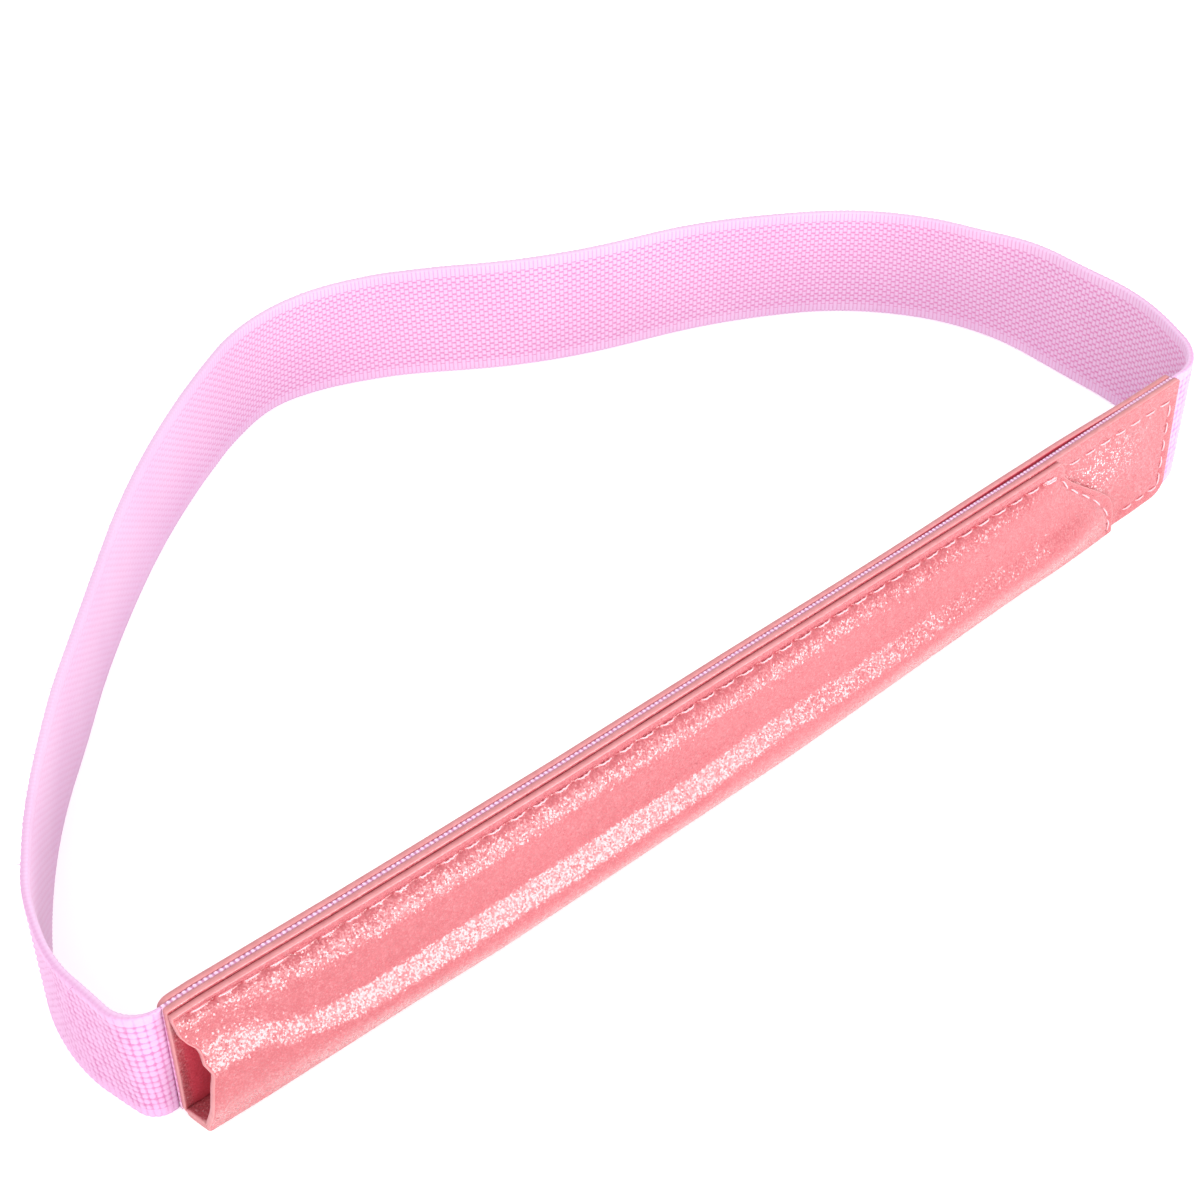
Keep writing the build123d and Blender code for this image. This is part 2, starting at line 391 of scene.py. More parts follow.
def elastic_band(name, path, face_rows=True, loose=False):
    """The woven strip along a plan path, with its beads, grooves and selvages in the mesh.

    The outer face has beads in a square grid, the inner face narrower ribs in brick order.
    """
    centre = evenly(path)
    tangent = np.gradient(centre, axis=0)
    tangent /= np.linalg.norm(tangent, axis=1, keepdims=True)
    outward = np.stack([-tangent[:, 1], tangent[:, 0]], -1)
    stations = len(centre)
    column, phase = np.divmod(np.arange(stations), PHASES)
    crest = np.where(phase == 0, 0.0, 1.0)
    bead_crest = np.where(np.arange(stations) % BEAD_PHASES == 0, 0.0, 1.0)
    distance = np.arange(stations) * COLUMN_PITCH / PHASES
    if loose:
        top_shift, foot_shift = band_lean(distance)
        to_end = np.minimum(distance, distance[-1] - distance)
        thick = PINCHED + (ELASTIC - PINCHED) * smoothstep(to_end, 0, 5)
        dent = LOOSE_DENT
        # On the long run behind the mouth the inner ribs lie close together.
        inner_relief = 0.25 + 0.4 * smoothstep(distance, 95, 150)
    else:
        top_shift, foot_shift = -set_back(centre[:, 0], BAND_WIDTH), -set_back(centre[:, 0], 0)
        thick = np.full(stations, PINCHED)
        dent = SEWN_DENT
        inner_relief = 0.65
    ring = band_ring(face_rows)
    points = np.zeros((stations, len(ring), 3))
    uv = np.zeros((stations, len(ring), 2))
    for j, (side, z, row) in enumerate(ring):
        outer_face = side > 0
        raised = bead_crest if outer_face else crest
        height = np.full(stations, z)
        if row == RIM_ROW:
            depth = np.zeros(stations)
            height = z + (dent if z == 0 else -dent) * (1 - crest)
        elif row == SELVAGE_ROW:
            depth = RIB_RELIEF * (1 - raised) + SELVAGE_SINK
        else:
            odd = row % 2 if outer_face else (row + column) % 2
            # The weave's first and last half-rows lie low, beside the selvages.
            bead = np.where(row % (2 * ROW_COUNT) == 0, 0.1, odd) * raised
            depth = RELIEF * (1 - bead) * (1.0 if outer_face else inner_relief)
        half = side * (thick / 2 - depth * thick / ELASTIC)
        share = z / BAND_WIDTH
        shift = half + top_shift * share + foot_shift * (1 - share) ** (1 if loose else BACK_EASE)
        points[:, j, :2] = centre + outward * shift[:, None]
        points[:, j, 2] = height
        uv[:, j, 0] = distance
        uv[:, j, 1] = z
    count = len(ring)
    faces = grid_faces(stations, count, closed=True, flip=True)
    faces.append(list(range(count)))
    faces.append([(stations - 1) * count + j for j in reversed(range(count))])
    points, uv = points.reshape(-1, 3), uv.reshape(-1, 2)
    outer = np.tile([1.0 if side > 0 else 0.0 for side, _, _ in ring], stations)
    if loose:
        top = np.concatenate([centre + outward * top_shift[:, None],
                              np.full((stations, 1), BAND_WIDTH)], -1)
        points, faces, uv = edge_fibres(points, faces, uv, top, outward)
        outer = np.concatenate([outer, np.ones(len(points) - len(outer))])
    sewn = np.full(len(points), 0.0 if loose else 1.0)
    return make_object(name, points, faces, uv, {"outer": outer, "sewn": sewn})


# How far the loose band's top edge leans outwards (negative is inwards), by distance along it.
LEAN_AT = [0, 12, 25, 55, 155, 175, 205, 235, 256, 272, 290, 303, 308]
LEAN = [0.2, 0, -0.8, -2.2, -2.4, -1.1, -1.0, -2.2, -2.5, -0.1, 0.6, 0.8, 0.3]
FOOT_LEAN_AT = [0, 4, 8, 12, 20, 26, 280, 292, 303, 308]
FOOT_LEAN = [-1.7, -1.4, -0.9, -0.45, -0.25, 0, 0, 0.5, 0.8, 0.8]
# Where the lower edge bulges: distance along the band, half length, size.
FOOT_BULGES = [(80, 10, 0.4), (143, 7, 0.9), (159, 6, -0.4)]


def band_lean(distance):
    """Outward shift of the loose band's top and foot along it."""
    ease = np.zeros(len(distance))
    for at, low, at_next, high in zip(LEAN_AT, LEAN, LEAN_AT[1:], LEAN[1:]):
        inside = (distance >= at) & (distance <= at_next)
        ease[inside] = low + (high - low) * smoothstep(distance[inside], at, at_next)
    foot = np.interp(distance, FOOT_LEAN_AT, FOOT_LEAN)
    foot += sum(size * np.exp(-(((distance - at) / half) ** 2)) for at, half, size in FOOT_BULGES)
    return ease, foot


FIBRE_COUNT = 26
FIBRE_RADIUS = 0.05
FIBRE_SIDES = 5
FIBRE_STEPS = 5


def edge_fibres(points, faces, uv, top, outward):
    """Short broken fibres that stand out of the loose band's top edge."""
    points, uv = list(points), list(uv)
    for _ in range(FIBRE_COUNT):
        i = int(rng.uniform(0.03, 0.5) * len(top))
        out, along = np.array([*outward[i], 0]), np.array([-outward[i][1], outward[i][0], 0])
        lift = rng.uniform(-0.2, 0.5)
        length = rng.uniform(0.5, 1.3)
        direction = out * rng.uniform(0.6, 1) + np.array([0, 0, lift])
        curl = along * rng.uniform(-0.8, 0.8)
        begin = top[i] + out * 0.45 - np.array([0, 0, 0.25])
        start = len(points)
        for t in np.linspace(0, 1, FIBRE_STEPS):
            at = begin + direction * length * t + curl * length * t * t
            for k in range(FIBRE_SIDES):
                turn = 2 * math.pi * k / FIBRE_SIDES
                ring = along * math.cos(turn) + np.array([0, 0, math.sin(turn)])
                points.append(at + ring * FIBRE_RADIUS * (1 - 0.6 * t))
                uv.append((0.5 * COLUMN_PITCH, 0.8))
        last = start + (FIBRE_STEPS - 1) * FIBRE_SIDES
        faces = faces + grid_faces(FIBRE_STEPS, FIBRE_SIDES, start, closed=True)
        faces.append([start + k for k in reversed(range(FIBRE_SIDES))])
        faces.append([last + k for k in range(FIBRE_SIDES)])
    return np.array(points), faces, np.array(uv)


loop_path = rounded_route((0.0, SEWN_Y), LOOP_CORNERS, (SLEEVE_LENGTH, SEWN_Y))
elastic_loop = elastic_band("elastic_loop", loop_path, loose=True)
sewn_path = np.array([(SLEEVE_LENGTH, SKIN + PINCHED / 2), (0.0, SKIN + PINCHED / 2)])
elastic_sewn = elastic_band("elastic_in_sleeve", sewn_path, face_rows=False)


# ---- flat leather strips ------------------------------------------------------------------
def corner_trim(x, at_x, radius):
    """How much a rounded corner of that radius, at the strip's end at_x, cuts off at x."""
    gone = np.clip(radius - np.abs(x - at_x), 0, radius)
    return radius - np.sqrt(np.maximum(radius**2 - gone**2, 0))


FLAT_STEP = 0.36


def strip_grid(low_corners, top_corners):
    """x and z of a strip's grid, and each point's distance from the cut edge.

    The corners are radii at the mouth end and at the closed end.
    """
    ends = [0, 0.06, 0.16, 0.3, 0.6, 1.0, 1.8, 3.0]
    x = spread(ends + [STRIP_LENGTH - e for e in reversed(ends)], FLAT_STEP)
    rows = [0, 0.08, 0.18, 0.3, 0.6, 1.2, 1.6, 1.9, 2.2, 2.5, 2.8, 3.4, 5.0]
    v = spread(rows + [BAND_WIDTH - r for r in reversed(rows)], 0.9) / BAND_WIDTH
    low = np.maximum(corner_trim(x, 0, low_corners[0]),
                     corner_trim(x, STRIP_LENGTH, low_corners[1]))
    high = BAND_WIDTH - np.maximum(corner_trim(x, 0, top_corners[0]),
                                   corner_trim(x, STRIP_LENGTH, top_corners[1]))
    xs = np.repeat(x[:, None], len(v), 1)
    zs = low[:, None] + (high - low)[:, None] * v[None]
    inset = np.minimum.reduce([zs - low[:, None], high[:, None] - zs, xs, STRIP_LENGTH - xs])
    return xs, zs, np.maximum(inset, 0)


def pressed(xs, zs, rows, mark=1.0, **sizes):
    """The deepest of several seams' pressings, and how much shade is painted into their needle
    holes.
    """
    results = [seam_press(xs, zs, holes, **sizes) for holes in rows]
    return (np.maximum.reduce([depth for depth, _ in results]),
            np.maximum.reduce([share for _, share in results]) * mark)


BACK_ROWS = [
    seam_holes([(ROW_START, TOP_ROW_Z), (COLUMN_X, TOP_ROW_Z)]),
    seam_holes([(ROW_START, FOOT_ROW_Z), (COLUMN_X, FOOT_ROW_Z)]),
    seam_holes([(COLUMN_X, TOP_ROW_Z), (COLUMN_X, FOOT_ROW_Z)]),
]
BACK_CORNER = 1.4
BOW = 0.42  # how far the back strip gapes beside the end of the pocket


def make_back_strip():
    """The strip on the loop side, with its outer face and the normals there."""
    xs, zs, inset = strip_grid((BACK_CORNER, BACK_CORNER), (BACK_CORNER, BACK_CORNER))
    bow = BOW * smoothstep(xs, 98, 136) * (1 - smoothstep(xs, 139, 158))
    bow = bow * (0.25 + 0.75 * zs / BAND_WIDTH)
    ys = 1.5 * SKIN + PINCHED + set_back(xs, zs) + bow + 0.03 * ripple(xs, zs, 30, 3)
    depth, holes = pressed(xs, zs, BACK_ROWS)
    return leather_sheet("back_strip_leather", np.stack([xs, ys, zs], -1), inset, depth, holes,
                         np.stack([xs, zs], -1))


TAB_ROW_START = 141.5
TAB_FOOT_START = 155.5
TAB_COLUMN_X = STRIP_LENGTH - 1.5
TAB_TOP_Z = 16.9
TAB_FOOT_Z = 1.7
TAB_ROWS = [
    seam_holes([(TAB_ROW_START, TAB_TOP_Z + 0.2), (TAB_COLUMN_X, TAB_TOP_Z)]),
    seam_holes([(TAB_COLUMN_X, TAB_TOP_Z), (TAB_COLUMN_X, TAB_FOOT_Z)]),
    seam_holes([(TAB_FOOT_START, TAB_FOOT_Z), (TAB_COLUMN_X, TAB_FOOT_Z)]),
]
TAB_MIDDLE_X = 149


def make_base_panel():
    """The strip behind the pocket, with its outer face and the normals there."""
    # It shows its face to the front, so the columns of its grid run downwards.
    xs, zs, inset = (grid[:, ::-1] for grid in strip_grid((0.9, 2.6), (0.5, 0.7)))
    depth, holes = pressed(xs, zs, TAB_ROWS, mark=0.45, trough=0.12, hole=0.2)
    pillow = 0.35 * np.exp(-(((xs - TAB_MIDDLE_X) / 7) ** 2) - ((zs - 9) / 4.5) ** 2)
    ys = SKIN / 2 + set_back(xs, zs) + 0.04 * ripple(xs, zs, 18, 5) - pillow
    # Painted shade: behind the pocket, the panel's face is painted with the underside's red, for
    # the dim inside of the pocket.
    pocket_shade = smoothstep(xs, 0.5, 1.6) * (1 - smoothstep(xs, 132, 140))
    pocket_shade = pocket_shade * (1 - smoothstep(zs, 15.5, 17.5))
    # Its flakes stand up where the leather is rumpled beside the end of the pocket, and there
    # some are painted near-white as glints.
    rumpled_and_glints = np.exp(-(((xs - TAB_MIDDLE_X) / 11) ** 2) - ((zs - 12.5) / 5.5) ** 2)
    return leather_sheet("base_panel_leather", np.stack([xs, ys, zs], -1), inset, depth, holes,
                         np.stack([xs, zs], -1), pocket_shade, -5.5 * rumpled_and_glints)


back_strip, *back_face = make_back_strip()
base_panel, *base_face = make_base_panel()

# ---- pocket -------------------------------------------------------------------------------
# Sections of the pocket's leather, through its middle, as (y, z). Both go from the sewn upper
# edge over the ridge to the foot. At the mouth the pocket stands open and its ridge is high;
# along the sleeve the upper slope sags and the ridge lies low.
MOUTH_SECTION = [
    (-0.43, 19.60), (-0.43, 18.75), (-0.40, 17.80), (-1.00, 16.95), (-1.42, 16.15),
    (-1.66, 15.25), (-1.87, 14.47), (-2.06, 13.80), (-2.33, 13.10), (-2.70, 12.36),
    (-3.14, 11.50), (-3.50, 10.70), (-3.72, 9.75), (-3.80, 7.50), (-3.70, 4.54),
    (-3.42, 2.33), (-3.15, 1.05), (-2.85, 0.58), (-2.45, 0.50),
]
SLEEVE_SECTION = [
    (-0.43, 19.60), (-0.43, 18.75), (-0.40, 17.80), (-1.13, 16.75), (-1.83, 15.80),
    (-2.27, 14.81), (-2.42, 13.53), (-2.50, 11.97), (-2.54, 10.30), (-2.72, 9.15),
    (-3.28, 8.15), (-3.93, 7.15), (-4.46, 6.15), (-4.58, 4.90), (-4.30, 3.40),
    (-3.69, 1.90), (-3.20, 0.95), (-2.85, 0.58), (-2.45, 0.50),
]
# The leather then goes back under the pocket, rolls up at the base panel and comes forward.
FOOT_FOLD = [
    (-1.60, 0.50), (-0.90, 0.50), (-0.42, 0.60), (-0.28, 0.92), (-0.46, 1.27), (-0.95, 1.42),
    (-1.80, 1.45), (-2.80, 1.45),
]
# How open the pocket is along x: 1 has the section of the mouth, 0 that of the sleeve.
OPEN_X = [0, 5, 7.5, 10, 12.5, 16, 21, 28, 45, 70, 85, 100, 115, 150]
OPEN = [1.1, 1.05, 0.87, 0.62, 0.53, 0.25, 0.06, -0.05, -0.12, -0.1, 0.08, -0.02, 0.14, 0.12]
# How far the foot stands off the base panel along x; the sections above have SECTION_FOOT.
SECTION_FOOT = 3.15
FOOT_X = [0, 7, 27, 40, 85, 105, 126, 152]
FOOT = [1.9, 2.2, 2.6, 3.1, 3.1, 2.7, 2.2, 1.5]
FLAT_Y = -SKIN / 2  # the leather's middle where the pocket is sewn down
POCKET_LENGTH = 152.0  # to its tip
# Height of the ridge along x, and how far the rubbed leather reaches from it.
RIDGE_X = [0, 3.4, 5, 7.5, 10, 12.5, 16, 22, 29, 36, 67, 84, 93, 111, 121]
RIDGE_Z = [14.0, 13.6, 12.8, 11.8, 10.6, 10.1, 8.7, 7.7, 7.2, 6.8, 7.1, 7.9, 7.5, 8.0, 8.0]
RIDGE_REACH = 2.2
# Where the mouth's wavy cut edge, the end seam and the end's cut edge lie, by height.
MOUTH_Z = [0.0, 1.7, 4.5, 6.9, 9.8, 11.3, 12.5, 13.6, 14.3, 15.4, 16.8, 20.0]
MOUTH_X = [0.8, 0.5, 0.75, 0.95, 1.45, 1.95, 1.55, 1.75, 1.6, 0.9, 0.3, 0.1]
SEAM_Z = [0.0, 2.1, 4.0, 5.8, 7.8, 10.0, 11.7, 13.5, 15.2, 16.3, 17.8, 20.0]
SEAM_X = [152.1, 151.7, 151.2, 150.3, 148.6, 146.3, 144.2, 142.1, 140.3, 139.8, 139.0, 138.9]
TIP_Z = [0.0, 4.0, 6.0, 7.4, 9.4, 12.1, 14.5, 16.5, 18.7, 20.0]
TIP_X = [152.9, 152.4, 151.9, 151.1, 149.0, 145.5, 142.5, 140.5, 139.8, 138.8]

CURVE_STEPS = 4
FRONT_COLUMNS = CURVE_STEPS * (len(MOUTH_SECTION) - 2) + 1  # of the mesh, down to the foot


def section_curve(wall):
    """The section as a curve, with half as many points under the pocket as on its front."""
    curve = soft_curve(wall + FOOT_FOLD, CURVE_STEPS)
    return np.concatenate([curve[:FRONT_COLUMNS], curve[FRONT_COLUMNS + 1 :: 2]])


mouth_curve, sleeve_curve = section_curve(MOUTH_SECTION), section_curve(SLEEVE_SECTION)
section_length = np.concatenate(
    [[0], np.cumsum(np.linalg.norm(np.diff(sleeve_curve, axis=0), axis=1))]
)

POCKET_ROW = seam_holes([
    (ROW_START, 18.6), (9.0, 18.2), (17.0, TOP_ROW_Z), (138.6, TOP_ROW_Z - 0.1),
])
END_ROW = seam_holes([
    (np.interp(z, SEAM_Z, SEAM_X), z)
    for z in (16.6, 15.2, 13.5, 11.7, 10.0, 7.8, 5.8, 4.0, 2.1, 0.8)
])
# The machine sews back and forth over the last stitches of the top row.
BACKTACK = [
    np.array([(135.6, 17.95), (138.9, 17.45)]),
    np.array([(139.6, 17.15), (136.4, 17.5)]),
]
# Mesh stations along the pocket, as shares of its length at the mouth and at the tip, and as
# shares of a pitch from one needle hole to the next. They lie closer together at the holes.
MOUTH_STATIONS = [0, 0.0004, 0.001, 0.002, 0.004, 0.0065]
TIP_STATIONS = [0.992, 0.994, 0.996, 0.9975, 0.999, 1]
BETWEEN_HOLES = [0, 0.06, 0.12, 0.18, 0.26, 0.38, 0.52, 0.66, 0.8, 0.92]


def pocket_stations():
    """Shares of the way from the pocket's mouth to its tip."""
    mouth_x, tip_x = np.interp(TOP_ROW_Z, MOUTH_Z, MOUTH_X), np.interp(TOP_ROW_Z, TIP_Z, TIP_X)
    at = (POCKET_ROW[:, 0] - mouth_x) / (tip_x - mouth_x)
    between = [a + (b - a) * t for a, b in zip(at, at[1:]) for t in BETWEEN_HOLES]
    return np.array(MOUTH_STATIONS + between + [at[-1]] + TIP_STATIONS)


def fullness(x, z):
    """How far the pocket stands off the base: 1 along it, little at the end seam."""
    to_seam = np.interp(z, SEAM_Z, SEAM_X) - x
    pinned = 0.05 + 0.1 * (1 - smoothstep(z, 2, 8))
    taper = 1 - 0.14 * smoothstep(x, 85, 140)
    return taper * (pinned + (1 - pinned) * np.sqrt(smoothstep(to_seam, -0.5, 14.0)))


def pocket_surface(along):
    """x, y and z of the leather's middle, and each point's distance from the cut ends."""
    station_x = (along * POCKET_LENGTH)[:, None]
    openness = np.interp(station_x, OPEN_X, OPEN)[..., None]
    section = sleeve_curve[None] + openness * (mouth_curve - sleeve_curve)[None]
    ys, zs = section[..., 0], section[..., 1]
    front_foot = -np.interp(station_x, FOOT_X, FOOT)
    pulled_in = (SECTION_FOOT + front_foot) / (SECTION_FOOT + FLAT_Y)
    ys = FLAT_Y + (ys - FLAT_Y) * (1 - pulled_in * (1 - smoothstep(zs, 0, 7)))
    # The fold under the pocket reaches back to the base panel's foot and hangs a little, and
    # the top seam rises a little towards the mouth.
    under = np.clip((ys - front_foot) / (FLAT_Y - front_foot), 0, 1) * (1 - smoothstep(zs, 2, 6))
    ys = ys + np.maximum(set_back(station_x, 0), 0) * under
    rise = 0.8 * (1 - smoothstep(station_x, 3, 16)) * smoothstep(zs, 15.5, 17.8)
    zs = zs + rise * (1 - smoothstep(zs, 18.0, 19.6))
    zs = zs - 0.25 * under
    mouth_x = np.interp(zs, MOUTH_Z, MOUTH_X) - 0.6 * under
    tip_x = np.interp(zs, TIP_Z, TIP_X)
    xs = mouth_x + (tip_x - mouth_x) * along[:, None]
    ys = FLAT_Y + (ys - FLAT_Y) * fullness(xs, zs)
    # The flap beyond the end seam stands up a little, and the wall before it is uneven.
    beyond = xs - np.interp(zs, SEAM_Z, SEAM_X)
    flap = smoothstep(beyond, 0.2, 1.6) * smoothstep(zs, 4, 7) * (1 - smoothstep(zs, 13, 15.5))
    ys = ys - 0.14 * flap
    wall = smoothstep(zs, 1.5, 5) * (1 - smoothstep(zs, 15, 17)) * smoothstep(-beyond, 0, 6)
    ys = ys + (0.1 * ripple(xs, zs * 0.6, 26, 11) + 0.035 * ripple(xs, zs * 0.5, 7, 12)) * wall
    # Where the leather is sewn down, it follows the layers behind it.
    upper = smoothstep(zs, 11, 16.5)
    ys = ys + set_back(xs, zs) * np.maximum(upper, smoothstep(xs, 125, 150) * (1 - upper))
    return xs, ys, zs, np.minimum(xs - mouth_x, tip_x - xs)


def make_pocket():
    """The pocket's leather, with the outer face of its front and the normals there."""
    xs, ys, zs, from_ends = pocket_surface(pocket_stations())
    from_top = np.repeat(section_length[None], len(xs), 0)
    inset = np.minimum.reduce([from_ends, from_top, section_length[-1] - from_top])
    top_depth, top_holes = pressed(xs, zs, [POCKET_ROW], trough=0.22, hole=0.24)
    end_depth, end_holes = pressed(xs, zs, [END_ROW], mark=0.4, trough=0.2, hole=0.15)
    front_wall = np.arange(xs.shape[1]) < FRONT_COLUMNS
    # The ridge is rubbed smooth, less so towards the end seam. The flakes stand up most in the
    # creased leather under the top seam, and there a few are painted near-white as glints.
    ridge_z = np.interp(xs, RIDGE_X, RIDGE_Z)
    rubbed = np.exp(-(((zs - ridge_z) / RIDGE_REACH) ** 4)) * (1 - 0.75 * smoothstep(xs, 70, 135))
    creased_and_glints = np.exp(-(((zs - 16.2) / 1.7) ** 2)) * (1 - 0.6 * smoothstep(xs, 20, 70))
    panel, outer, normals = leather_sheet(
        "pocket_leather", np.stack([xs, ys, zs], -1), inset,
        np.maximum(top_depth, end_depth) * front_wall,
        np.maximum(top_holes, end_holes) * front_wall,
        np.stack([xs, from_top], -1), polish_and_glints=rubbed - 2.3 * creased_and_glints,
    )
    return panel, outer[:, :FRONT_COLUMNS], normals[:, :FRONT_COLUMNS]


pocket_panel, *pocket_front = make_pocket()

# ---- threads ------------------------------------------------------------------------------
top_thread = thread_seam("top_seam_thread_stitches", [
    (POCKET_ROW, *pocket_front),
    (BACKTACK[0], *pocket_front),
    (BACKTACK[1], *pocket_front),
    (TAB_ROWS[0], *base_face),
    (BACK_ROWS[0], *back_face),
])
tab_thread = thread_seam("tab_seam_thread_stitches", [
    (TAB_ROWS[1], *base_face),
    (BACK_ROWS[2], *back_face),
])
foot_thread = thread_seam("bottom_seam_thread_stitches", [
    (TAB_ROWS[2], *base_face),
    (BACK_ROWS[1], *back_face),
])
end_thread = thread_seam("pocket_end_thread_stitches", [
    (END_ROW, *pocket_front),
])


# ---- materials ----------------------------------------------------------------------------
class Nodes:
    """Short names for building one material's node tree."""

    def __init__(self, name):
        self.material = bpy.data.materials.new(name)
        self.material.use_nodes = True
        self.tree = self.material.node_tree
        self.shader = self.tree.nodes["Principled BSDF"]

    def add(self, kind, values=None, **settings):
        node = self.tree.nodes.new(kind)
        for key, value in settings.items():
            setattr(node, key, value)
        for key, value in (values or {}).items():
            self.feed(node.inputs[key], value)
        return node

    def feed(self, socket, value):
        if isinstance(value, bpy.types.NodeSocket):
            self.tree.links.new(value, socket)
        else:
            socket.default_value = value

    def math(self, operation, a, b=0.0, c=0.0):
        node = self.add("ShaderNodeMath", {0: a, 1: b, 2: c}, operation=operation)
        return node.outputs[0]

    def plus(self, a, b):
        return self.math("ADD", a, b)

    def minus(self, a, b):
        return self.math("SUBTRACT", a, b)

    def times(self, a, b):
        return self.math("MULTIPLY", a, b)

    def vector(self, operation, a, b=(0, 0, 0)):
        node = self.add("ShaderNodeVectorMath", {0: a, 1: b}, operation=operation)
        return node.outputs[0]

    def scaled(self, a, factor):
        node = self.add("ShaderNodeVectorMath", {0: a, "Scale": factor}, operation="SCALE")
        return node.outputs[0]

    def mix(self, factor, a, b):
        node = self.add("ShaderNodeMix", data_type="RGBA")
        self.feed(node.inputs[0], factor)
        self.feed(node.inputs[6], a)
        self.feed(node.inputs[7], b)
        return node.outputs[2]

    def span(self, value, low, high, out_low=0.0, out_high=1.0):
        node = self.add("ShaderNodeMapRange", {
            "Value": value, "From Min": low, "From Max": high,
            "To Min": out_low, "To Max": out_high,
        }, interpolation_type="SMOOTHSTEP")
        return node.outputs[0]

    def position(self):
        return self.add("ShaderNodeTexCoord").outputs["Object"]

    def layout(self):
        """UV in millimetres: along the strip, and across it."""
        uv = self.add("ShaderNodeUVMap", uv_map="layout").outputs[0]
        split = self.add("ShaderNodeSeparateXYZ", {0: uv})
        return split.outputs[0], split.outputs[1]

    def value(self, attribute):
        return self.add("ShaderNodeAttribute", attribute_name=attribute).outputs["Fac"]

    def noise(self, vector, scale, detail=3.0, roughness=0.5):
        node = self.add("ShaderNodeTexNoise", {
            "Vector": vector, "Scale": scale, "Detail": detail, "Roughness": roughness,
        })
        return node.outputs["Fac"]

    def bump(self, height, strength, distance, normal=None):
        node = self.add("ShaderNodeBump", {
            "Height": height, "Strength": strength, "Distance": distance,
        })
        if normal is not None:
            self.feed(node.inputs["Normal"], normal)
        return node.outputs[0]

    def finish(self, **sockets):
        for key, value in sockets.items():
            self.feed(self.shader.inputs[key.replace("_", " ")], value)
        return self.material


def rgb(r, g, b):
    """An sRGB colour from 0 to 255 as linear RGBA."""
    def linear(c):
        c /= 255
        return c / 12.92 if c <= 0.04045 else ((c + 0.055) / 1.055) ** 2.4
    return (linear(r), linear(g), linear(b), 1.0)


# Colours of the surfaces themselves: under the strong light they look paler. Some are painted
# light and shade instead: the glints on the flakes, the shade in the needle holes, inside the
# pocket, in the band's grooves and near its ends, the light on the band in the sleeve and the
# light and shade on the thread's plies.
CORAL = rgb(152, 61, 69)
CORAL_CLOUD = rgb(156, 67, 75)
CORAL_GRAIN = rgb(158, 72, 79)
FLAKE_PINK = rgb(194, 128, 134)
PAINTED_GLINT_WHITE = rgb(246, 214, 218)
LINING_AND_SHADE_RED = rgb(192, 62, 78)
EDGE_PAINT = rgb(178, 108, 111)
EDGE_PAINT_PALE = rgb(186, 118, 121)
HOLE_SHADE_RED = rgb(146, 18, 37)
YARN_LILAC = rgb(203, 168, 199)
YARN_LILAC_WARM = rgb(206, 173, 202)
YARN_END_SHADE = rgb(184, 118, 166)
YARN_SEWN_LIT = rgb(240, 204, 226)
YARN_FIBRE = rgb(214, 168, 205)
CORE_PINK_AND_SHADE = rgb(190, 92, 150)
CORE_END_SHADE = rgb(172, 70, 132)
THREAD_ROSE_SHADED = rgb(218, 134, 144)
THREAD_PALE_LIT = rgb(232, 178, 184)
THREAD_FIBRE = rgb(238, 212, 216)

FLAKE = 0.0002  # size of a pearl flake, in metres


